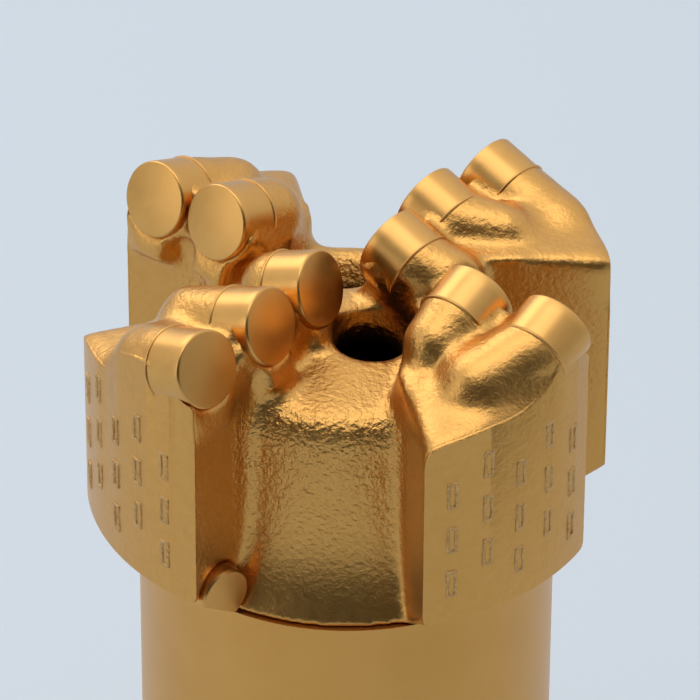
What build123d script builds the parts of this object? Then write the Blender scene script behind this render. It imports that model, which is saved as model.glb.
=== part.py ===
"""Four-blade matrix-body PDC drill bit, gauge 3-5/8 in, standing face up on its pin.

One cast matrix crown carries the brazed cutters. A steel blank is cast into it,
and the pin shank is screwed and welded to the blank. Millimetres, +Z along the bit
axis, z = 0 on the end face of the pin. Angles are measured counter-clockwise
seen from above, the way the cutter faces look.
"""
from build123d import *
from dataclasses import dataclass
from math import asin, cos, degrees, radians, sin
import os

# ---- driving dimensions -------------------------------------------------
gauge_radius = 45.5          # ground gauge pads
crown_top_height = 60.0      # height of the blade blanks above the crown base
pad_bottom_height = 6.2      # gauge pad starts here above the crown base

# cast core between the blades
slot_radius = 29.5           # upper wall of the junk slots
slot_base_radius = 36.3      # the same wall where it flares out at the base
slot_edge_height = 38.0      # rounded edge between slot floor and slot wall
slot_edge_round = 5.0
face_height = 41.0           # slot floor at the axis
face_flat_radius = 4.5       # level middle of that floor
slot_wall_flare = 9.0        # height over which the wall comes in from its foot
slot_edge_sweep = 83.0       # degrees the rounded edge turns through

# face cutters
cutter_radius = 6.72
cutter_length = 8.0
table_thickness = 2.0
rim_chamfer = 0.35
back_rake = 19.0
braze_gap = 0.08
face_lead = 0.7              # how far a face stands ahead of its seat
seat_wall = 0.9              # matrix beside the lower half of a cutter
seat_depth = 4.0             # matrix under a cutter
seat_foot_width = 8.0        # of the web that carries the round seat
seat_drop = 0.4              # top of the seat below the middle of a cutter
land_drop = 1.2              # blade land below the line of the cutter centres

wall_lead = 1.0              # inner end of the leading wall, ahead of the centre line
land_end_drop = 3.0          # fall of the land inside its innermost cutter
land_gauge_drop = 5.0        # and from the outermost cutter to the gauge
land_overrun = 4.0           # how far the land is drawn past both ends
footprint_overrun = 6.0
trail_knee_depth = 4.0       # where the trailing wall turns inward, inside the slot wall
trail_knee_turn = 3.0
elbow_overlap = 1.0

# up-drill cutters at the foot of each blade
updrill_radius = 5.0
updrill_length = 5.0
updrill_table = 1.2
updrill_station = 39.6
updrill_height = 5.3
updrill_lead = 2.0
updrill_turn = 15.0          # of the face outward from the pad edge
updrill_scoop_length = 13.0
updrill_scoop_tip = 1.2

# gauge bricks
brick_width = 2.1
brick_height = 5.4
brick_depth = 2.4
brick_proud = 0.15
brick_gap = 0.05
brick_first_angle = 7.0
brick_angle_step = 8.6
brick_columns = 5
brick_row_step = 9.0
brick_low_height = 14.0
brick_rows = 3

# water way
port_radius = 6.8
port_mouth_depth = 4.0
port_throat_radius = 5.9
plenum_radius = 13.0
plenum_wall_height = 17.0

# steel blank
blank_radius = 24.0
blank_height = 24.0
blank_groove_depth = 1.2
blank_groove_width = 3.0
collar_length = 12.0
spigot_radius = 24.0
spigot_length = 18.0
cast_gap = 0.03
spigot_gap = 0.1

# pin shank
shank_radius = 36.5
shank_length = 46.0
weld_width = 6.0
weld_depth = 5.0
shoulder_chamfer = 1.5
breaker_flat = 62.0
breaker_height = 22.0
breaker_above_shoulder = 12.0
bore_radius = 16.0
pin_length = 57.0
pin_base_radius = 30.05
pin_taper = 1 / 16           # radius lost for each millimetre of length
pin_relief_length = 9.0
pin_relief_depth = 1.4
pin_nose_chamfer = 2.0

shoulder_z = pin_length
weld_z = shoulder_z + shank_length
crown_z = weld_z + collar_length


@dataclass
class Cutter:
    """Where a face cutter sits on its blade, and the cast backing behind it."""

    station: float           # out along the blade
    lead: float              # ahead of the blade's centre line
    height: float            # of the face centre above the crown base
    side_rake: float         # turn of the face about the bit axis
    backing: float           # straight length of the cast backing
    backing_turn: float = 0.0
    backing_fall: float = back_rake
    end_radius: float = cutter_radius


@dataclass
class Port:
    """A water port: its place in the floor, and how its bore leans outward."""

    x: float
    y: float
    outward: float
    tilt: float
    depth: float


@dataclass
class Blade:
    direction: float         # of the blade's centre line
    lead_angle: float        # leading edge of the gauge pad
    trail_angle: float       # trailing edge of the gauge pad
    inner_station: float     # where the land starts
    inner_width: float       # of the blade there, behind its centre line
    land_fall: float         # slope of the land behind the cutters
    cutters: list


outer_station = 39.3
blades = [
    Blade(142.0, 148.5, 101.0, 17.0, 3.0, 12.0, [
        Cutter(outer_station, 4.5, 50.8, -5.0, 10.5, -12.0, 12.0, 6.0),
        Cutter(25.5, 4.5, 51.5, -5.0, 5.0),
    ]),
    Blade(228.0, 236.0, 186.0, 5.0, 3.0, 15.0, [
        Cutter(outer_station, 4.1, 50.6, -1.0, 7.0, -6.0),
        Cutter(23.5, 4.1, 51.6, 9.0, 9.0),
        Cutter(7.6, 0.9, 50.0, 12.0, 1.0),
    ]),
    Blade(328.0, 334.0, 286.0, 15.0, 3.0, 11.0, [
        Cutter(outer_station, 4.3, 50.6, -5.0, 11.0, -22.0, 15.0),
        Cutter(24.0, 4.3, 51.2, -5.0, 5.0, 0.0, 19.0, 6.0),
    ]),
    Blade(47.5, 54.0, 4.0, 6.0, 3.0, 0.0, [
        Cutter(outer_station, 4.2, 50.6, 0.0, 12.0, -3.0, 3.0, 5.4),
        Cutter(24.0, 4.4, 51.5, 0.0, 9.5, 25.0, 0.0, 5.4),
        Cutter(10.4, 0.4, 51.0, 0.0, 6.0, 14.0, 6.0, 5.7),
    ]),
]


ports = [
    Port(4.2, -5.6, -65.0, 14.0, 16.0),
    Port(-0.8, 17.2, 94.0, 32.0, 20.0),
]


def polar(radius, angle, z=0.0):
    return Vector(radius * cos(radians(angle)), radius * sin(radians(angle)), z)


def tilted(angle, rise):
    """Unit vector that looks along angle and rises above the horizontal."""
    return polar(cos(radians(rise)), angle, sin(radians(rise)))


def cutter_plane(blade, cutter):
    """Plane on the cutter's face: x across it, z out of it."""
    ahead = polar(cutter.lead, blade.direction + 90)
    centre = polar(cutter.station, blade.direction, crown_z + cutter.height) + ahead
    look = blade.direction + 90 + cutter.side_rake
    return Plane(origin=centre, x_dir=polar(1, look - 90), z_dir=tilted(look, back_rake))


def backing_plane(blade, cutter):
    """Plane at the back of the cutter, from where the cast backing runs on."""
    face = cutter_plane(blade, cutter)
    centre = face.origin - face.z_dir * cutter_length
    look = blade.direction + 90 + cutter.side_rake + cutter.backing_turn
    run = tilted(look, cutter.backing_fall)
    return Plane(origin=centre, x_dir=polar(1, look - 90), z_dir=run)


def rod(plane, radius, start, end):
    """Cylinder about the plane's normal from start to end along it."""
    centre = plane.origin + plane.z_dir * ((start + end) / 2)
    seat = Plane(origin=centre, x_dir=plane.x_dir, z_dir=plane.z_dir)
    return seat * Cylinder(radius, end - start)


def ring(outer, inner, low, high):
    """Tube about the bit axis."""
    tube = Cylinder(outer, high - low) - Cylinder(inner, high - low)
    return Pos(0, 0, (low + high) / 2) * tube


# ---- crown: the one cast matrix piece -----------------------------------
def crown_core():
    """Body between the blades: sloping floor, rounded edge, flaring wall."""
    z0 = crown_z
    edge = slot_edge_height
    outline = [
        Line((0, z0), (slot_base_radius, z0)),
        Bezier((slot_base_radius, z0), (slot_radius + 0.6, z0 + slot_wall_flare),
               (slot_radius, z0 + 2 * slot_wall_flare),
               (slot_radius, z0 + edge - slot_edge_round)),
        JernArc((slot_radius, z0 + edge - slot_edge_round), (0, 1), slot_edge_round,
                slot_edge_sweep),
    ]
    outline.append(Line(outline[2] @ 1, (face_flat_radius, z0 + face_height)))
    outline.append(Line((face_flat_radius, z0 + face_height), (0, z0 + face_height)))
    outline.append(Line((0, z0 + face_height), (0, z0)))
    return revolve(Plane.XZ * make_face(Curve() + outline), Axis.Z)


def gauge_envelope():
    """Everything the crown may fill: gauge cylinder with the bevel under the pads."""
    z0 = crown_z
    points = [
        (0, z0), (slot_base_radius, z0), (gauge_radius, z0 + pad_bottom_height),
        (gauge_radius, z0 + crown_top_height), (0, z0 + crown_top_height),
    ]
    return revolve(Plane.XZ * make_face(Polyline(*points, close=True)), Axis.Z)


def blade_footprint(blade):
    """Plan outline of a blade: leading wall, gauge, trailing wall with its knee."""
    reach = gauge_radius + footprint_overrun
    lead_out = polar(reach, blade.lead_angle)
    trail_out = polar(reach, blade.trail_angle)
    corner_out = polar(reach / cos(radians((blade.lead_angle - blade.trail_angle) / 2)),
                       (blade.lead_angle + blade.trail_angle) / 2)
    trail_in = polar(blade.inner_width, blade.direction - 90)
    knee = polar(slot_radius - trail_knee_depth, blade.trail_angle + trail_knee_turn)
    lead_in = polar(wall_lead, blade.direction + 90)
    start = polar(blade.inner_station, blade.direction)
    return Polyline((lead_out.X, lead_out.Y), (corner_out.X, corner_out.Y),
                    (trail_out.X, trail_out.Y), (knee.X, knee.Y),
                    (start.X + trail_in.X, start.Y + trail_in.Y),
                    (start.X + lead_in.X, start.Y + lead_in.Y), close=True)


def blade_land(blade):
    """Solid under the land, which falls away behind the cutters."""
    look = blade.direction + 90
    start = polar(gauge_radius, look, crown_z)
    fall = tilted(look, blade.land_fall)
    back = Plane(origin=start, x_dir=polar(1, blade.direction), z_dir=-fall)
    tops = []
    for cutter in reversed(blade.cutters):
        rise = (cutter.height - land_drop) * cos(radians(blade.land_fall))
        set_back = (gauge_radius - cutter.lead) * sin(radians(blade.land_fall))
        tops.append((cutter.station, rise + set_back))
    first = (blade.inner_station - land_overrun, tops[0][1] - land_end_drop)
    last = (gauge_radius + land_overrun, tops[-1][1] - land_gauge_drop)
    land = Polyline(first, *tops, last)
    sides = Polyline(last, (last[0], -gauge_radius), (first[0], -gauge_radius), first)
    return extrude(back * make_face(land + sides), amount=2.5 * gauge_radius)


def blade_body(blade):
    z0 = crown_z
    prism = extrude(Pos(0, 0, z0) * make_face(blade_footprint(blade)), amount=crown_top_height)
    return prism & blade_land(blade)


def cutter_seat(blade, cutter):
    """Round seat under a cutter and its backing, on a narrower web."""
    face = cutter_plane(blade, cutter)
    radius = cutter_radius + seat_wall
    seat = Plane(origin=face.origin, x_dir=face.x_dir, z_dir=-face.z_dir)
    lower = Pos(0, -radius - seat_drop) * Rectangle(2 * radius, 2 * radius)
    depth = cutter_radius + seat_depth
    web = Pos(0, -depth / 2 - seat_drop) * Rectangle(seat_foot_width, depth)
    section = Pos(0, 0, face_lead) * ((Circle(radius) & lower) + web)
    return extrude(seat * section, amount=cutter_length + cutter.backing)


def cutter_backing(blade, cutter):
    """Cast backing behind a cutter: an elbow, a tapering length and a dome."""
    plane = backing_plane(blade, cutter)
    elbow = Pos(*plane.origin) * Sphere(cutter_radius)
    length = cutter.backing + elbow_overlap
    middle = plane.origin + plane.z_dir * (elbow_overlap - length / 2)
    axis = Plane(origin=middle, x_dir=plane.x_dir, z_dir=-plane.z_dir)
    if cutter.end_radius < cutter_radius:
        body = axis * Cone(cutter_radius, cutter.end_radius, length)
    else:
        body = axis * Cylinder(cutter_radius, length)
    dome = Pos(*(plane.origin - plane.z_dir * cutter.backing)) * Sphere(cutter.end_radius)
    return body + elbow + dome


def cutter_pocket(blade, cutter):
    """Room for a cutter, open ahead of its face."""
    face = cutter_plane(blade, cutter)
    return rod(face, cutter_radius + braze_gap, -cutter_length - braze_gap, 5.5)


def updrill_plane(blade):
    """Face of the back-reaming cutter at the foot of the leading edge."""
    angle = blade.lead_angle + degrees(asin(updrill_lead / updrill_station))
    centre = polar(updrill_station, angle, crown_z + updrill_height)
    look = blade.lead_angle + 90 - updrill_turn
    return Plane(origin=centre, x_dir=polar(1, look - 90), z_dir=polar(1, look))


def updrill_recess(blade):
    """Pocket of the up-drill cutter and the scoop that runs out ahead of it."""
    face = updrill_plane(blade)
    pocket = rod(face, updrill_radius + braze_gap, -updrill_length - braze_gap, 0.6)
    mouth = face * Pos(0, 0, updrill_scoop_length / 2 + 0.5)
    scoop = mouth * Cone(updrill_radius + 0.6, updrill_scoop_tip, updrill_scoop_length)
    return pocket + scoop


def brick_planes(blade):
    """Places of the gauge bricks, in columns staggered by half a row."""
    places = []
    for column in range(brick_columns):
        angle = blade.trail_angle + brick_first_angle + column * brick_angle_step
        stagger = brick_row_step / 2 * (column % 2)
        for row in range(brick_rows):
            height = crown_z + brick_low_height + row * brick_row_step + stagger
            places.append(Plane(origin=polar(gauge_radius + brick_proud, angle, height),
                                x_dir=(0, 0, 1), z_dir=polar(1, angle)))
    return places


def brick(place, gap=0.0):
    block = Box(brick_height + 2 * gap, brick_width + 2 * gap, brick_depth + gap,
                align=(Align.CENTER, Align.CENTER, Align.MAX))
    return place * block


def port_bore(port):
    """One inclined port: mouth, narrower throat, and the way down to the plenum."""
    top = Vector(port.x, port.y, crown_z + face_height)
    slope = Plane(origin=top, z_dir=tilted(port.outward, 90 - port.tilt))
    mouth = rod(slope, port_radius, -port_mouth_depth, 8)
    throat = rod(slope, port_throat_radius, -port.depth, 0)
    return mouth + throat


def plenum():
    """Round-topped space on the bit axis, open to the bore below."""
    low = crown_z - 2
    wall = Line((plenum_radius, low), (plenum_radius, crown_z + plenum_wall_height))
    dome = JernArc(wall @ 1, (0, 1), plenum_radius, 90)
    closing = Polyline(dome @ 1, (0, low), (plenum_radius, low))
    return revolve(Plane.XZ * make_face(Curve() + [wall, dome, closing]), Axis.Z)


def blank_outline(gap):
    """Steel blank's tube inside the crown, with its keying grooves."""
    tube = Pos(0, 0, crown_z + (blank_height + gap) / 2) * Cylinder(
        blank_radius + gap, blank_height + gap)
    for step in (0.25, 0.55, 0.85):
        centre = crown_z + blank_height * step
        half = blank_groove_width / 2 - gap
        tube -= ring(blank_radius + 1, blank_radius + gap - blank_groove_depth,
                     centre - half, centre + half)
    return tube


def make_crown():
    crown = crown_core()
    for blade in blades:
        crown += blade_body(blade)
        for cutter in blade.cutters:
            crown += cutter_seat(blade, cutter)
            crown += cutter_backing(blade, cutter)
    crown = crown & gauge_envelope()
    for blade in blades:
        for cutter in blade.cutters:
            crown -= cutter_pocket(blade, cutter)
        crown -= updrill_recess(blade)
        for place in brick_planes(blade):
            crown -= brick(place, brick_gap)
    crown -= plenum()
    crown -= blank_outline(cast_gap)
    for port in ports:
        crown -= port_bore(port)
    return crown


# ---- cutters ------------------------------------------------------------
def cutter_substrate(plane, radius, length, table):
    """Carbide body behind the diamond table."""
    return rod(plane, radius, -length, -table)


def cutter_table(plane, radius, table):
    """Diamond table with its bevelled rim."""
    disc = rod(plane, radius, -table, 0)
    face = disc.faces().sort_by(Axis(plane.origin, plane.z_dir))[-1]
    return chamfer(face.edges(), rim_chamfer)


# ---- steel pieces -------------------------------------------------------
def make_blank():
    """Steel blank: tube in the crown, collar under it, spigot into the shank."""
    blank = blank_outline(0)
    blank += Pos(0, 0, crown_z - collar_length / 2) * Cylinder(shank_radius, collar_length)
    spigot_low = weld_z - spigot_length
    blank += Pos(0, 0, (weld_z + spigot_low) / 2) * Cylinder(spigot_radius, spigot_length)
    through = Pos(0, 0, crown_z) * Cylinder(plenum_radius, 200)
    return blank - through - weld_groove()


def weld_groove():
    """V groove round the joint of blank and shank."""
    points = [(shank_radius + 1, weld_z - weld_width / 2 - 0.6),
              (shank_radius - weld_depth, weld_z),
              (shank_radius + 1, weld_z + weld_width / 2 + 0.6)]
    return revolve(Plane.XZ * make_face(Polyline(*points, close=True)), Axis.Z)


def make_weld():
    """Weld that fills the groove, ground flush with the shank."""
    return weld_groove() & Pos(0, 0, weld_z) * Cylinder(shank_radius, 4 * weld_width)


def make_shank():
    """Shank body, breaker slots, shoulder, tapered pin and bore."""
    pin_nose_radius = pin_base_radius - pin_taper * pin_length
    relief_radius = pin_base_radius - pin_relief_depth
    relief_low = shoulder_z - pin_relief_length
    cone_radius = pin_base_radius - pin_taper * pin_relief_length
    points = [
        (0, 0), (pin_nose_radius - pin_nose_chamfer, 0), (pin_nose_radius, pin_nose_chamfer),
        (cone_radius, relief_low), (relief_radius, relief_low + 1),
        (relief_radius, shoulder_z), (shank_radius - shoulder_chamfer, shoulder_z),
        (shank_radius, shoulder_z + shoulder_chamfer), (shank_radius, weld_z), (0, weld_z),
    ]
    shank = revolve(Plane.XZ * make_face(Polyline(*points, close=True)), Axis.Z)
    slot_low = shoulder_z + breaker_above_shoulder
    for side in (-1, 1):
        slot = Box(100, 20, breaker_height)
        shank -= Pos(0, side * (breaker_flat / 2 + 10), slot_low + breaker_height / 2) * slot
    shank -= Cylinder(bore_radius, 3 * weld_z)
    socket = Cylinder(spigot_radius + spigot_gap, 2 * (spigot_length + spigot_gap))
    shank -= Pos(0, 0, weld_z) * socket
    return shank - weld_groove()


def save(node, shape):
    export_step(shape, f"parts/{node}.step")


os.makedirs("parts", exist_ok=True)
save("crown", make_crown())
save("steel_blank", make_blank())
save("weld_ring", make_weld())
save("pin_shank", make_shank())
for number, blade in enumerate(blades, 1):
    name = f"blade_{number}"
    for place, cutter in enumerate(blade.cutters, 1):
        face = cutter_plane(blade, cutter)
        save(f"{name}_cutter_{place}_substrate",
             cutter_substrate(face, cutter_radius, cutter_length, table_thickness))
        save(f"{name}_cutter_{place}_diamond_table",
             cutter_table(face, cutter_radius, table_thickness))
    face = updrill_plane(blade)
    body = cutter_substrate(face, updrill_radius, updrill_length, updrill_table)
    save(f"{name}_updrill_substrate", body & gauge_envelope())
    table = cutter_table(face, updrill_radius, updrill_table)
    save(f"{name}_updrill_diamond_table", table & gauge_envelope())
    save(f"{name}_gauge_bricks",
         Compound(children=[brick(place) for place in brick_planes(blade)]))
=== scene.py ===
import bpy
from math import cos, radians, sin, tau
from mathutils import Matrix, Vector


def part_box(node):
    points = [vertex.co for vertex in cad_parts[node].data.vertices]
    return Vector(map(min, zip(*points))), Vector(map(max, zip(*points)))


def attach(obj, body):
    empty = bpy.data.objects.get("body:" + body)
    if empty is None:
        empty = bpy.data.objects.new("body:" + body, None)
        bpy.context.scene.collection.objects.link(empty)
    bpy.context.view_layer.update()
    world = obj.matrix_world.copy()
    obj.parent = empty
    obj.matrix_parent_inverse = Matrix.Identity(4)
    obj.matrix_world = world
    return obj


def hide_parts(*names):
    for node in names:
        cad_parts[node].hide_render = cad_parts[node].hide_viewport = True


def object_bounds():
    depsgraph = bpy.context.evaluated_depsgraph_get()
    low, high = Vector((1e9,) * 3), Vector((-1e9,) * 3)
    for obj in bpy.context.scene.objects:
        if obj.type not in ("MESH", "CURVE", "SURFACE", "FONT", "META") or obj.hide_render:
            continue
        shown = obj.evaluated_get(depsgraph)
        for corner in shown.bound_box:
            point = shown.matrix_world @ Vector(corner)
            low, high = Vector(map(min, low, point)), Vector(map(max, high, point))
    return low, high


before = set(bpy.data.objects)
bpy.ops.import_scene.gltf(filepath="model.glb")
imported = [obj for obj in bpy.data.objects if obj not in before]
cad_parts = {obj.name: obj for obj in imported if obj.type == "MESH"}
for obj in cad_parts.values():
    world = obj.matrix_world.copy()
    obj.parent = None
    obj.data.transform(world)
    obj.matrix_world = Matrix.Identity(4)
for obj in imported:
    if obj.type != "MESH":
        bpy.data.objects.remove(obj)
cad_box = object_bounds()

# ---- Matrix crown -------------------------------------------------------
# The crown is one casting of tungsten-carbide powder bound with copper alloy, taken
# from a graphite mould, so its inner corners are round and its skin is grainy. The
# pads are ground to gauge, and the whole bit is sprayed with a satin gold lacquer.
MM = 0.001
CROWN_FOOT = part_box("crown")[0].z
GAUGE_RADIUS = 45.5 * MM
FOOT_RADIUS = 36.3 * MM
BEVEL_RISE = 6.2 * MM
CAST_VOXEL = 0.5 * MM
FILLET = 1.3 * MM
GRIND_STOCK = 1.0 * MM
PAD_MARGIN = 0.05 * MM
BRICK_FILL = 0.35 * MM
BRICK_REACH = 0.5 * MM
BRICK_SINK = 0.3 * MM
BLADES = (1, 2, 3, 4)
CUTTER_COUNTS = {1: 2, 2: 3, 3: 2, 4: 3}


def pick_only(piece):
    bpy.ops.object.select_all(action="DESELECT")
    piece.select_set(True)
    bpy.context.view_layer.objects.active = piece


def apply_all(piece):
    """Applies every modifier on the piece, from the top down."""
    pick_only(piece)
    for modifier in list(piece.modifiers):
        bpy.ops.object.modifier_apply(modifier=modifier.name)


def copy_of(node, name):
    """A merged copy of a CAD node's mesh as a new object."""
    piece = bpy.data.objects.new(name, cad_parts[node].data.copy())
    bpy.context.scene.collection.objects.link(piece)
    pick_only(piece)
    bpy.ops.object.mode_set(mode="EDIT")
    bpy.ops.mesh.select_all(action="SELECT")
    bpy.ops.mesh.remove_doubles(threshold=1e-6)
    bpy.ops.mesh.customdata_custom_splitnormals_clear()
    bpy.ops.object.mode_set(mode="OBJECT")
    piece.data.materials.clear()
    return piece


def select_faces(piece, wanted):
    """Leaves only the faces for which wanted(face) is true selected."""
    pick_only(piece)
    bpy.ops.object.mode_set(mode="EDIT")
    bpy.ops.mesh.select_mode(type="FACE")
    bpy.ops.mesh.select_all(action="DESELECT")
    bpy.ops.object.mode_set(mode="OBJECT")
    for face in piece.data.polygons:
        face.select = wanted(face)


def fatten(piece, amount):
    pick_only(piece)
    bpy.ops.object.mode_set(mode="EDIT")
    bpy.ops.mesh.select_all(action="SELECT")
    bpy.ops.mesh.normals_make_consistent(inside=False)
    bpy.ops.transform.shrink_fatten(value=amount)
    bpy.ops.object.mode_set(mode="OBJECT")


def axis_distance(point):
    return Vector((point.x, point.y, 0)).length


def offset_skin(piece, amount, smooth_steps):
    """Moves the skin along its normals, draws it afresh and evens it out."""
    if amount:
        move = piece.modifiers.new("move", "DISPLACE")
        move.strength = amount
        move.mid_level = 0
    redraw = piece.modifiers.new("redraw", "REMESH")
    redraw.mode = "VOXEL"
    redraw.voxel_size = CAST_VOXEL
    even = piece.modifiers.new("even", "SMOOTH")
    even.factor = 0.5
    even.iterations = smooth_steps
    apply_all(piece)


# The pads start out too thick, as they leave the mould, and are ground back later.
crown = copy_of("crown", "cast_crown")
for vertex in crown.data.vertices:
    if axis_distance(vertex.co) > GAUGE_RADIUS - PAD_MARGIN:
        if vertex.co.z < CROWN_FOOT + BEVEL_RISE + PAD_MARGIN:
            vertex.co.z += GRIND_STOCK * BEVEL_RISE / (GAUGE_RADIUS - FOOT_RADIUS)
        vertex.co += Vector((vertex.co.x, vertex.co.y, 0)).normalized() * GRIND_STOCK

# Brick sockets and cutter pockets are filled first, so the skin closes round them as
# the braze does.
fillers = []
seats = []
for blade in BLADES:
    bricks = copy_of(f"blade_{blade}_gauge_bricks", "brick_filler")
    fatten(bricks, BRICK_FILL)
    for vertex in bricks.data.vertices:
        if axis_distance(vertex.co) > GAUGE_RADIUS - BRICK_REACH:
            outward = Vector((vertex.co.x, vertex.co.y, 0)).normalized()
            vertex.co += outward * (GRIND_STOCK - BRICK_SINK)
    fillers.append(bricks)
    for count in range(1, CUTTER_COUNTS[blade] + 1):
        core = copy_of(f"blade_{blade}_cutter_{count}_substrate", "cutter_filler")
        seats.append(sum((vertex.co for vertex in core.data.vertices), Vector())
                     / len(core.data.vertices))
        fillers.append(core)
pick_only(crown)
for filler in fillers:
    filler.select_set(True)
bpy.ops.object.join()

offset_skin(crown, 0, 6)
offset_skin(crown, FILLET, 8)
offset_skin(crown, -FILLET, 10)


def soften(name, weight_at, steps):
    """Smooths the crown's skin by the weight each place is given."""
    zone = crown.vertex_groups.new(name=name)
    for vertex in crown.data.vertices:
        weight = max(0.0, min(1.0, weight_at(vertex.co)))
        if weight > 0:
            zone.add([vertex.index], weight, "REPLACE")
    smooth = crown.modifiers.new(name, "SMOOTH")
    smooth.factor = 0.5
    smooth.iterations = steps
    smooth.vertex_group = zone.name
    apply_all(crown)


# The edge where the slot floor turns down into the wall is a broad round, worn smooth in
# the mould.
EDGE_RADIUS = 27.5 * MM
EDGE_HEIGHT = CROWN_FOOT + 36.0 * MM
EDGE_REACH = 8.0 * MM


def edge_weight(point):
    reach = Vector((axis_distance(point) - EDGE_RADIUS, point.z - EDGE_HEIGHT)).length
    above = max(0.0, min(1.0, (CROWN_FOOT + 41.5 * MM - point.z) / (2 * MM)))
    return 0.0 if axis_distance(point) < 18 * MM else 2 * (1 - reach / EDGE_REACH) * above


# The lands' free corners, away from the cutters, are rounded like the rest of the casting.
LAND_HEIGHT = CROWN_FOOT + 39.0 * MM
SEAT_REACH = 9.0 * MM


def land_weight(point):
    up = (point.z - LAND_HEIGHT) / (3 * MM)
    out = (axis_distance(point) - 30 * MM) / (3 * MM)
    clear = min((point - seat).length for seat in seats)
    return min(up, out, (clear - SEAT_REACH) / (2 * MM))


soften("slot_edge", edge_weight, 130)
soften("land_corners", land_weight, 160)

# Grinding: the casting is cut to the gauge cylinder and the bevel under the pads.
ENVELOPE_HEIGHT = 80 * MM
THIN_RATIO = 0.6
bpy.ops.object.select_all(action="DESELECT")
bpy.ops.mesh.primitive_cylinder_add(vertices=480, radius=GAUGE_RADIUS, depth=ENVELOPE_HEIGHT,
                                    location=(0, 0, CROWN_FOOT + ENVELOPE_HEIGHT / 2))
envelope = bpy.context.object
envelope.data.transform(envelope.matrix_world)
envelope.matrix_world = Matrix.Identity(4)
select_faces(envelope, lambda face: face.normal.z < -0.9)
bpy.ops.object.mode_set(mode="EDIT")
bpy.ops.transform.translate(value=(0, 0, BEVEL_RISE))
bpy.ops.mesh.extrude_region_move(TRANSFORM_OT_translate={"value": (0, 0, -BEVEL_RISE)})
shrink = FOOT_RADIUS / GAUGE_RADIUS
bpy.ops.transform.resize(value=(shrink, shrink, 1))
bpy.ops.object.mode_set(mode="OBJECT")
grind = crown.modifiers.new("grind", "BOOLEAN")
grind.operation = "INTERSECT"
grind.solver = "MANIFOLD"
grind.object = envelope
thin = crown.modifiers.new("thin", "DECIMATE")
thin.ratio = THIN_RATIO
apply_all(crown)
bpy.data.objects.remove(envelope)

LACQUER = "#DDA95F"
LACQUER_DEEP = "#CC954D"


def linear(text):
    """An sRGB hex colour as linear RGBA."""
    parts = [int(text[i:i + 2], 16) / 255 for i in (1, 3, 5)]
    return [c / 12.92 if c <= 0.04045 else ((c + 0.055) / 1.055) ** 2.4 for c in parts] + [1]


def add_node(material, kind, settings=None, links=None):
    """Adds a shader node with its settings and its input links."""
    tree = material.node_tree
    node = tree.nodes.new(kind)
    for key, value in (settings or {}).items():
        if isinstance(key, int) or key in node.inputs:
            node.inputs[key].default_value = value
        else:
            setattr(node, key, value)
    for key, socket in (links or {}).items():
        tree.links.new(socket, node.inputs[key])
    return node


def new_material(name):
    material = bpy.data.materials.new(name)
    material.use_nodes = True
    material.node_tree.nodes.clear()
    return material


def finish_material(material, shader, piece):
    add_node(material, "ShaderNodeOutputMaterial", {}, {"Surface": shader.outputs[0]})
    piece.data.materials.clear()
    piece.data.materials.append(material)


# Metallic lacquer over a cast skin: satin with fine pigment sparkle. The slot walls
# keep the mould's orange peel of about 1 mm, which fades towards the foot, and the
# ground pads show a finer mottle.
cast_gold = new_material("gold_lacquer_on_cast_matrix")
place = add_node(cast_gold, "ShaderNodeTexCoord").outputs["Object"]
split = add_node(cast_gold, "ShaderNodeSeparateXYZ", {}, {0: place})
flat = add_node(cast_gold, "ShaderNodeCombineXYZ", {"Z": 0.0},
                {"X": split.outputs["X"], "Y": split.outputs["Y"]})
radius = add_node(cast_gold, "ShaderNodeVectorMath", {"operation": "LENGTH"},
                  {0: flat.outputs[0]}).outputs["Value"]
height = split.outputs["Z"]
on_pad = add_node(cast_gold, "ShaderNodeMapRange",
                  {"From Min": GAUGE_RADIUS - 0.4 * MM, "From Max": GAUGE_RADIUS - 0.2 * MM,
                   "To Min": 0.0, "To Max": 1.0}, {"Value": radius}).outputs[0]
off_wall = add_node(cast_gold, "ShaderNodeMapRange",
                    {"From Min": 33.5 * MM, "From Max": 35.5 * MM, "To Min": 1.0,
                     "To Max": 0.0}, {"Value": radius}).outputs[0]
peel_fade = add_node(cast_gold, "ShaderNodeMapRange",
                     {"From Min": CROWN_FOOT + 6 * MM, "From Max": CROWN_FOOT + 30 * MM,
                      "To Min": 0.0, "To Max": 1.0}, {"Value": height}).outputs[0]
below_edge = add_node(cast_gold, "ShaderNodeMapRange",
                      {"From Min": CROWN_FOOT + 35.5 * MM, "From Max": CROWN_FOOT + 39.2 * MM,
                       "To Min": 1.0, "To Max": 0.30}, {"Value": height}).outputs[0]
peel_area = add_node(cast_gold, "ShaderNodeMath", {"operation": "MULTIPLY"},
                     {0: off_wall, 1: peel_fade}).outputs[0]
peel_area = add_node(cast_gold, "ShaderNodeMath", {"operation": "MULTIPLY"},
                     {0: peel_area, 1: below_edge}).outputs[0]
peel_area = add_node(cast_gold, "ShaderNodeMath", {"operation": "MAXIMUM", 1: 0.22},
                     {0: peel_area}).outputs[0]
PEEL_CELL = 1.0 * MM
peel = add_node(cast_gold, "ShaderNodeTexNoise",
                {"Scale": 1 / PEEL_CELL, "Detail": 2.0, "Roughness": 0.55},
                {"Vector": place}).outputs["Fac"]
peel_step = add_node(cast_gold, "ShaderNodeMath", {"operation": "MULTIPLY"},
                     {0: peel, 1: peel_area}).outputs[0]
GRAIN = 0.28 * MM
grain = add_node(cast_gold, "ShaderNodeTexNoise", {"Scale": 1 / GRAIN, "Detail": 3.0},
                 {"Vector": place}).outputs["Fac"]
MOTTLE = 2.2 * MM
mottle = add_node(cast_gold, "ShaderNodeTexNoise",
                  {"Scale": 1 / MOTTLE, "Detail": 5.0, "Roughness": 0.7},
                  {"Vector": place}).outputs["Fac"]
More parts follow.
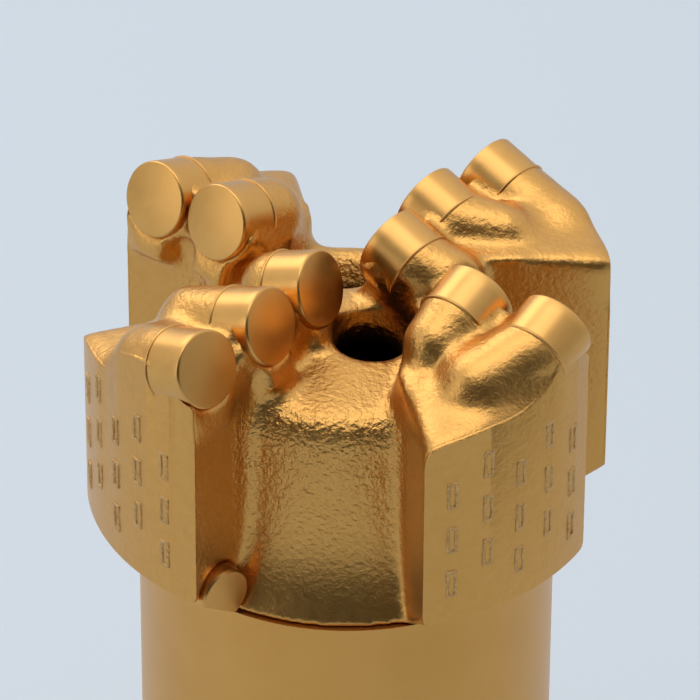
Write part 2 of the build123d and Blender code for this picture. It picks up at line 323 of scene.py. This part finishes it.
pad_mottle = add_node(cast_gold, "ShaderNodeMath", {"operation": "MULTIPLY"},
                      {0: mottle, 1: on_pad}).outputs[0]
peel_bump = add_node(cast_gold, "ShaderNodeBump", {"Strength": 1.0, "Distance": 0.55 * MM},
                     {"Height": peel_step})
mottle_bump = add_node(cast_gold, "ShaderNodeBump", {"Strength": 0.8, "Distance": 0.20 * MM},
                       {"Height": pad_mottle, "Normal": peel_bump.outputs[0]})
grain_bump = add_node(cast_gold, "ShaderNodeBump", {"Strength": 0.5, "Distance": 0.06 * MM},
                      {"Height": grain, "Normal": mottle_bump.outputs[0]})
tone = add_node(cast_gold, "ShaderNodeMix",
                {"data_type": "RGBA", 6: linear(LACQUER_DEEP), 7: linear(LACQUER)},
                {0: mottle})
# Painted shade: inside the ports and the bore, below the slot floor, the colour is darkened to
# near black.
in_bore = add_node(cast_gold, "ShaderNodeMapRange",
                   {"From Min": 24.5 * MM, "From Max": 26.0 * MM, "To Min": 1.0,
                    "To Max": 0.0}, {"Value": radius}).outputs[0]
below_floor = add_node(cast_gold, "ShaderNodeMapRange",
                       {"From Min": CROWN_FOOT + 33 * MM, "From Max": CROWN_FOOT + 38 * MM,
                        "To Min": 1.0, "To Max": 0.0}, {"Value": height}).outputs[0]
port_painted_shade = add_node(cast_gold, "ShaderNodeMath", {"operation": "MULTIPLY"},
                {0: in_bore, 1: below_floor}).outputs[0]
tone = add_node(cast_gold, "ShaderNodeMix", {"data_type": "RGBA", 7: linear("#120A06")},
                {0: port_painted_shade, 6: tone.outputs[2]})
gloss = add_node(cast_gold, "ShaderNodeMapRange", {"To Min": 0.28, "To Max": 0.40},
                 {"Value": mottle}).outputs[0]
shader = add_node(cast_gold, "ShaderNodeBsdfPrincipled", {"Metallic": 1.0},
                  {"Base Color": tone.outputs[2], "Roughness": gloss,
                   "Normal": grain_bump.outputs[0]})
finish_material(cast_gold, shader, crown)
pick_only(crown)
bpy.ops.object.shade_smooth_by_angle(angle=radians(40))
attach(crown, "root")
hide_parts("crown")

# ---- Diamond cutters ----------------------------------------------------
# Each cutter is a disc of sintered diamond bonded on a round carbide body and brazed
# into its seat. The lacquer covers both, and only the rim's bevel and the fine line
# behind the diamond still show.
CUTTER_RADIUS = 6.72 * MM
RIM_BEVEL = 0.45 * MM
BOND_LINE = 0.05 * MM
BRAZE_LINE = 0.3 * MM


def surface_centre(node):
    """Area-weighted centre of a node's skin."""
    total, centre = 0.0, Vector()
    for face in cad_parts[node].data.polygons:
        total += face.area
        centre += face.area * face.center
    return centre / total


def face_of(body_node, table_node):
    """Centre of the diamond's face, the way it looks, and its distance to the back."""
    look = (surface_centre(table_node) - surface_centre(body_node)).normalized()
    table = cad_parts[table_node].data.vertices
    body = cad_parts[body_node].data.vertices
    front = max(vertex.co.dot(look) for vertex in table)
    bond = max(vertex.co.dot(look) for vertex in body)
    end = min(vertex.co.dot(look) for vertex in body)
    on_axis = surface_centre(table_node)
    return on_axis + look * (front - on_axis.dot(look)), look, front - bond, front - end


def make_cutter(name, radius, table, length):
    """A lathe-true cutter with its face at the origin, looking along +Z."""
    bpy.ops.object.select_all(action="DESELECT")
    bpy.ops.mesh.primitive_cylinder_add(vertices=128, radius=radius, depth=length,
                                        location=(0, 0, -length / 2))
    piece = bpy.context.object
    piece.name = name
    piece.data.transform(piece.matrix_world)
    piece.matrix_world = Matrix.Identity(4)
    bpy.ops.object.mode_set(mode="EDIT")
    for cut in (table - 0.1 * MM, table, table + 0.1 * MM):
        bpy.ops.mesh.select_all(action="SELECT")
        bpy.ops.mesh.bisect(plane_co=(0, 0, -cut), plane_no=(0, 0, 1))
    bpy.ops.object.mode_set(mode="OBJECT")
    for vertex in piece.data.vertices:
        if abs(vertex.co.z + table) < 0.02 * MM:
            vertex.co.x *= 1 - BOND_LINE / radius
            vertex.co.y *= 1 - BOND_LINE / radius
    select_faces(piece, lambda face: face.center.z > -0.01 * MM)
    bpy.ops.object.mode_set(mode="EDIT")
    bpy.ops.mesh.region_to_loop()
    bpy.ops.mesh.bevel(offset=RIM_BEVEL, segments=4, profile=0.5)
    bpy.ops.object.mode_set(mode="OBJECT")
    bpy.ops.object.select_all(action="DESELECT")
    bpy.ops.mesh.primitive_torus_add(major_radius=radius - 0.05 * MM, minor_radius=BRAZE_LINE,
                                     major_segments=128, minor_segments=10,
                                     location=(0, 0, -length))
    bead = bpy.context.object
    bead.data.transform(bead.matrix_world)
    bead.matrix_world = Matrix.Identity(4)
    pick_only(piece)
    bead.select_set(True)
    bpy.ops.object.join()
    return piece


# Sprayed lacquer on lapped diamond and ground carbide: the smoothest satin on the bit,
# with a faint cloudiness and pigment grain.
cutter_gold = new_material("gold_lacquer_on_lapped_diamond")
place = add_node(cutter_gold, "ShaderNodeTexCoord").outputs["Object"]
cloud = add_node(cutter_gold, "ShaderNodeTexNoise",
                 {"Scale": 1 / (4.0 * MM), "Detail": 4.0, "Roughness": 0.6},
                 {"Vector": place}).outputs["Fac"]
grain = add_node(cutter_gold, "ShaderNodeTexNoise", {"Scale": 1 / (0.22 * MM), "Detail": 2.0},
                 {"Vector": place}).outputs["Fac"]
tone = add_node(cutter_gold, "ShaderNodeMix",
                {"data_type": "RGBA", 6: linear("#CF9A53"), 7: linear("#DFAC64")},
                {0: cloud})
gloss = add_node(cutter_gold, "ShaderNodeMapRange", {"To Min": 0.26, "To Max": 0.38},
                 {"Value": cloud}).outputs[0]
bump = add_node(cutter_gold, "ShaderNodeBump", {"Strength": 0.3, "Distance": 0.03 * MM},
                {"Height": grain})
cutter_shader = add_node(cutter_gold, "ShaderNodeBsdfPrincipled", {"Metallic": 1.0},
                         {"Base Color": tone.outputs[2], "Roughness": gloss,
                          "Normal": bump.outputs[0]})
add_node(cutter_gold, "ShaderNodeOutputMaterial", {}, {"Surface": cutter_shader.outputs[0]})


def seat_cutter(blade, label, radius):
    """Makes one cutter at the place its CAD nodes hold."""
    body_node = f"blade_{blade}_{label}_substrate"
    table_node = f"blade_{blade}_{label}_diamond_table"
    centre, look, table, length = face_of(body_node, table_node)
    piece = make_cutter(f"blade_{blade}_{label}_cutter", radius, table, length)
    turn = look.to_track_quat("Z", "Y").to_matrix().to_4x4()
    piece.data.transform(Matrix.Translation(centre) @ turn)
    piece.data.materials.clear()
    piece.data.materials.append(cutter_gold)
    pick_only(piece)
    bpy.ops.object.shade_smooth_by_angle(angle=radians(35))
    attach(piece, "root")
    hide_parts(body_node, table_node)
    return piece


for blade in BLADES:
    for count in range(1, CUTTER_COUNTS[blade] + 1):
        seat_cutter(blade, f"cutter_{count}", CUTTER_RADIUS)

# ---- Up-drill cutters ---------------------------------------------------
# A smaller cutter at the foot of each leading edge reams the hole on the way out. It
# is brazed in a side pocket and ground flush with the bevel under the pad.
for blade in BLADES:
    for part in ("updrill_substrate", "updrill_diamond_table"):
        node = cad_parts[f"blade_{blade}_{part}"]
        node.data.materials.clear()
        node.data.materials.append(cutter_gold)

# ---- Gauge bricks -------------------------------------------------------
# Upright carbide bricks are set in the pads to hold the gauge. Under the lacquer each
# shows as a sunk bar between crumbly raised edges.
BRICK_WIDTH = 2.1 * MM
BRICK_HEIGHT = 5.4 * MM
BRICK_DEPTH = 1.2 * MM
BRICK_PROUD = 0.12 * MM

brick_gold = new_material("gold_lacquer_on_carbide_bricks")
place = add_node(brick_gold, "ShaderNodeTexCoord").outputs["Object"]
crumble = add_node(brick_gold, "ShaderNodeTexNoise",
                   {"Scale": 1 / (0.7 * MM), "Detail": 3.0, "Roughness": 0.65},
                   {"Vector": place}).outputs["Fac"]
# Painted highlight and shade: the colour follows the same crumble noise as the bump, pale
# cream on the raised crumbs and dark in the pits.
tone = add_node(brick_gold, "ShaderNodeMix",
                {"data_type": "RGBA", 6: linear("#A86E2C"), 7: linear("#F0CB8C")},
                {0: crumble})
bump = add_node(brick_gold, "ShaderNodeBump", {"Strength": 1.0, "Distance": 0.40 * MM},
                {"Height": crumble})
shader = add_node(brick_gold, "ShaderNodeBsdfPrincipled",
                  {"Metallic": 1.0, "Roughness": 0.34},
                  {"Base Color": tone.outputs[2], "Normal": bump.outputs[0]})
add_node(brick_gold, "ShaderNodeOutputMaterial", {}, {"Surface": shader.outputs[0]})

bpy.ops.object.select_all(action="DESELECT")
bpy.ops.mesh.primitive_cube_add(size=1, location=(0, 0, 0))
pattern = bpy.context.object
pattern.name = "brick_pattern"
for vertex in pattern.data.vertices:
    vertex.co = Vector((vertex.co.x * BRICK_WIDTH, vertex.co.y * BRICK_HEIGHT,
                        (vertex.co.z - 0.5) * BRICK_DEPTH))
select_faces(pattern, lambda face: face.normal.z > 0.9)
bpy.ops.object.mode_set(mode="EDIT")
bpy.ops.mesh.inset(thickness=0.22 * MM, depth=BRICK_PROUD)
bpy.ops.mesh.inset(thickness=0.35 * MM, depth=0)
bpy.ops.mesh.inset(thickness=0.20 * MM, depth=-0.45 * MM)
bpy.ops.mesh.select_all(action="SELECT")
bpy.ops.mesh.bevel(offset=0.12 * MM, segments=1)
bpy.ops.mesh.select_all(action="SELECT")
bpy.ops.mesh.subdivide(number_cuts=2)
bpy.ops.object.mode_set(mode="OBJECT")


def brick_places(node):
    """Middle of each brick's outer face, from the loose solids of the CAD node."""
    stock = copy_of(node, "brick_places")
    pick_only(stock)
    bpy.ops.object.mode_set(mode="EDIT")
    bpy.ops.mesh.select_all(action="SELECT")
    bpy.ops.mesh.separate(type="LOOSE")
    bpy.ops.object.mode_set(mode="OBJECT")
    places = []
    for solid in list(bpy.context.selected_objects):
        corners = [vertex.co for vertex in solid.data.vertices]
        middle = sum(corners, Vector()) / len(corners)
        outward = Vector((middle.x, middle.y, 0)).normalized()
        reach = max(corner.dot(outward) for corner in corners)
        places.append((outward * reach + Vector((0, 0, middle.z)), outward))
        bpy.data.objects.remove(solid)
    places.sort(key=lambda item: tuple(round(value, 5) for value in item[0]))
    return places


def crumbled(point, amount):
    """Shifts a point by a small amount that depends only on its place."""
    wave = sin(point.x * 5200 + point.z * 3100) + sin(point.y * 4700 - point.z * 6900)
    return amount * wave / 2


for blade in BLADES:
    node = f"blade_{blade}_gauge_bricks"
    bricks = []
    for place, outward in brick_places(node):
        brick = pattern.copy()
        brick.data = pattern.data.copy()
        bpy.context.scene.collection.objects.link(brick)
        side = Vector((0, 0, 1)).cross(outward)
        turn = Matrix((side, Vector((0, 0, 1)), outward)).transposed().to_4x4()
        brick.data.transform(Matrix.Translation(place) @ turn)
        for vertex in brick.data.vertices:
            proud = vertex.co.dot(outward) - place.dot(outward)
            if proud > -0.4 * MM:
                vertex.co += side * crumbled(vertex.co, 0.10 * MM)
                vertex.co.z += crumbled(vertex.co.yzx, 0.10 * MM)
                vertex.co -= outward * abs(crumbled(vertex.co.zxy, 0.12 * MM))
            for axis in (0, 1):
                vertex.co[axis] = max(cad_box[0][axis], min(cad_box[1][axis], vertex.co[axis]))
        bricks.append(brick)
    pick_only(bricks[0])
    for brick in bricks:
        brick.select_set(True)
    bpy.ops.object.join()
    set_of_bricks = bpy.context.object
    set_of_bricks.name = f"blade_{blade}_brick_set"
    set_of_bricks.data.materials.clear()
    set_of_bricks.data.materials.append(brick_gold)
    bpy.ops.object.shade_smooth_by_angle(angle=radians(60))
    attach(set_of_bricks, "root")
    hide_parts(node)
bpy.data.objects.remove(pattern)

# ---- Shank, weld and pin ------------------------------------------------
# The steel blank's collar, the weld and the shank are turned to one diameter after
# welding. The pin below the shoulder carries the tapered connection thread.
turned_gold = new_material("gold_lacquer_on_turned_steel")
place = add_node(turned_gold, "ShaderNodeTexCoord").outputs["Object"]
stretch = add_node(turned_gold, "ShaderNodeMapping", {"Scale": (1.0, 1.0, 30.0)},
                   {"Vector": place}).outputs[0]
lathe_marks = add_node(turned_gold, "ShaderNodeTexNoise",
                       {"Scale": 1 / (9.0 * MM), "Detail": 3.0, "Roughness": 0.6},
                       {"Vector": stretch}).outputs["Fac"]
grain = add_node(turned_gold, "ShaderNodeTexNoise", {"Scale": 1 / (0.25 * MM), "Detail": 2.0},
                 {"Vector": place}).outputs["Fac"]
cloud = add_node(turned_gold, "ShaderNodeTexNoise",
                 {"Scale": 1 / (14.0 * MM), "Detail": 4.0}, {"Vector": place}).outputs["Fac"]
tone = add_node(turned_gold, "ShaderNodeMix",
                {"data_type": "RGBA", 6: linear("#CC954D"), 7: linear("#DDA95F")},
                {0: cloud})
marks_bump = add_node(turned_gold, "ShaderNodeBump", {"Strength": 0.25, "Distance": 0.02 * MM},
                      {"Height": lathe_marks})
bump = add_node(turned_gold, "ShaderNodeBump", {"Strength": 0.25, "Distance": 0.03 * MM},
                {"Height": grain, "Normal": marks_bump.outputs[0]})
gloss = add_node(turned_gold, "ShaderNodeMapRange", {"To Min": 0.30, "To Max": 0.42},
                 {"Value": cloud}).outputs[0]
shader = add_node(turned_gold, "ShaderNodeBsdfPrincipled", {"Metallic": 1.0},
                  {"Base Color": tone.outputs[2], "Roughness": gloss,
                   "Normal": bump.outputs[0]})
add_node(turned_gold, "ShaderNodeOutputMaterial", {}, {"Surface": shader.outputs[0]})
for node in ("steel_blank", "weld_ring"):
    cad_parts[node].data.materials.clear()
    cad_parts[node].data.materials.append(turned_gold)

THREAD_PITCH = 6.35 * MM
THREAD_DEPTH = 2.9 * MM
PIN_TAPER = 1 / 16
PIN_LENGTH = 57.0 * MM
PIN_BASE_RADIUS = 30.05 * MM
THREAD_TOP = 48.5 * MM
TURNS = 9
TURN_STEPS = 96
GROOVE_OVERLAP = 0.6 * MM
GROOVE_SLOPE = 0.577

shank = copy_of("pin_shank", "turned_pin_shank")
bpy.ops.object.select_all(action="DESELECT")
bpy.ops.mesh.primitive_circle_add(vertices=3, radius=1 * MM, fill_type="NGON",
                                  location=(0, 0, 0))
groove = bpy.context.object
groove.name = "thread_groove"
half_mouth = (THREAD_DEPTH + GROOVE_OVERLAP) * GROOVE_SLOPE
section = [Vector((PIN_BASE_RADIUS + GROOVE_OVERLAP, 0, half_mouth)),
           Vector((PIN_BASE_RADIUS - THREAD_DEPTH, 0, 0)),
           Vector((PIN_BASE_RADIUS + GROOVE_OVERLAP, 0, -half_mouth))]
for vertex, corner in zip(groove.data.vertices, section):
    vertex.co = corner
sweep = groove.modifiers.new("sweep", "SCREW")
sweep.axis = "Z"
sweep.angle = tau
sweep.screw_offset = THREAD_PITCH
sweep.iterations = TURNS
sweep.steps = TURN_STEPS
sweep.render_steps = TURN_STEPS
apply_all(groove)
high = max(vertex.co.z for vertex in groove.data.vertices)
for vertex in groove.data.vertices:
    vertex.co.z += THREAD_TOP - high
    pull = PIN_TAPER * (PIN_LENGTH - vertex.co.z)
    outward = Vector((vertex.co.x, vertex.co.y, 0))
    vertex.co -= outward.normalized() * pull
bpy.ops.object.mode_set(mode="EDIT")
bpy.ops.mesh.select_all(action="SELECT")
bpy.ops.mesh.remove_doubles(threshold=1e-7)
bpy.ops.mesh.select_all(action="DESELECT")
bpy.ops.mesh.select_mode(type="EDGE")
bpy.ops.mesh.select_non_manifold()
bpy.ops.mesh.fill_holes(sides=0)
bpy.ops.mesh.select_all(action="SELECT")
bpy.ops.mesh.normals_make_consistent(inside=False)
bpy.ops.object.mode_set(mode="OBJECT")
thread = shank.modifiers.new("thread", "BOOLEAN")
thread.operation = "DIFFERENCE"
thread.solver = "EXACT"
thread.object = groove
apply_all(shank)
bpy.data.objects.remove(groove)
shank.data.materials.clear()
shank.data.materials.append(turned_gold)
pick_only(shank)
bpy.ops.object.shade_smooth_by_angle(angle=radians(30))
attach(shank, "root")
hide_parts("pin_shank")

# ---- Floor, light and camera --------------------------------------------
# A pale matt sheet under the bit, soft boxes overhead, at the back left and at the left,
# and a plain pale room that is dark behind the camera.
PAPER = "#D1D9E0"
bpy.ops.object.select_all(action="DESELECT")
bpy.ops.mesh.primitive_plane_add(size=8, location=(0, 0, 0))
floor = bpy.context.object
floor.name = "floor"
paper = new_material("matt_pale_paper")
place = add_node(paper, "ShaderNodeTexCoord").outputs["Object"]
fibre = add_node(paper, "ShaderNodeTexNoise", {"Scale": 1 / (1.5 * MM), "Detail": 2.0},
                 {"Vector": place}).outputs["Fac"]
bump = add_node(paper, "ShaderNodeBump", {"Strength": 0.05, "Distance": 0.05 * MM},
                {"Height": fibre})
shader = add_node(paper, "ShaderNodeBsdfPrincipled",
                  {"Base Color": linear(PAPER), "Roughness": 0.9, "Specular IOR Level": 0.1},
                  {"Normal": bump.outputs[0]})
finish_material(paper, shader, floor)

world = bpy.data.worlds.new("pale_room")
bpy.context.scene.world = world
world.use_nodes = True
world.node_tree.nodes.clear()
ROOM_COLOUR = "#E6E9ED"
FRONT_LEVEL = 0.05
BACK_LEVEL = 0.80
CEILING_LIFT = 1.7


def add_room(kind, inputs=None):
    """Adds a node to the room's light with its input values."""
    node = world.node_tree.nodes.new(kind)
    for key, value in (inputs or {}).items():
        node.inputs[key].default_value = value
    return node


direction = add_room("ShaderNodeTexCoord")
axes = add_room("ShaderNodeSeparateXYZ")
world.node_tree.links.new(direction.outputs["Generated"], axes.inputs[0])
level = add_room("ShaderNodeMapRange", {"From Min": -0.8, "From Max": 0.15,
                                        "To Min": FRONT_LEVEL, "To Max": BACK_LEVEL})
level.interpolation_type = "SMOOTHSTEP"
world.node_tree.links.new(axes.outputs["Y"], level.inputs["Value"])
room = add_room("ShaderNodeBackground", {"Color": linear(ROOM_COLOUR)})
lift = add_room("ShaderNodeMapRange", {"To Min": 1.0, "To Max": CEILING_LIFT})
world.node_tree.links.new(axes.outputs["Z"], lift.inputs["Value"])
strength = add_room("ShaderNodeMath")
strength.operation = "MULTIPLY"
world.node_tree.links.new(level.outputs[0], strength.inputs[0])
world.node_tree.links.new(lift.outputs[0], strength.inputs[1])
world.node_tree.links.new(strength.outputs[0], room.inputs["Strength"])
output = add_room("ShaderNodeOutputWorld")
world.node_tree.links.new(room.outputs[0], output.inputs["Surface"])

CAMERA_RISE = 0.589921
CAMERA_ROLL = 0.00506
AIM = Vector((0, 0, CROWN_FOOT))
right = Vector((1, 0, 0))
up = Vector((0, sin(CAMERA_RISE), cos(CAMERA_RISE)))
back = Vector((0, -cos(CAMERA_RISE), sin(CAMERA_RISE)))
lens = bpy.data.cameras.new("view")
lens.lens = 310.42
lens.sensor_width = 36
lens.clip_end = 20
camera = bpy.data.objects.new("view", lens)
bpy.context.scene.collection.objects.link(camera)
rolled_right = right * cos(CAMERA_ROLL) + up * sin(CAMERA_ROLL)
rolled_up = up * cos(CAMERA_ROLL) - right * sin(CAMERA_ROLL)
turn = Matrix((rolled_right, rolled_up, back)).transposed().to_4x4()
eye = AIM + right * 0.465 * MM + up * 27.683 * MM + back * 1060.73 * MM
camera.matrix_world = Matrix.Translation(eye) @ turn
bpy.context.scene.camera = camera
bpy.context.scene.view_settings.view_transform = "Standard"


def soft_box(name, place, width, height, power):
    """A rectangular lamp that looks at the crown."""
    data = bpy.data.lights.new(name, "AREA")
    data.shape = "RECTANGLE"
    data.size = width
    data.size_y = height
    data.energy = power
    lamp = bpy.data.objects.new(name, data)
    bpy.context.scene.collection.objects.link(lamp)
    aim = AIM + Vector((0, 0, 0.03)) - Vector(place)
    lamp.rotation_euler = aim.to_track_quat("-Z", "Y").to_euler()
    lamp.location = place


soft_box("back_left", (-0.6, 0.9, 1.0), 0.8, 0.8, 3.6)
soft_box("overhead", (-0.1, -0.1, 1.3), 1.0, 1.0, 3.5)
soft_box("left", (-1.03, -0.37, 0.45), 0.35, 0.8, 1.1)
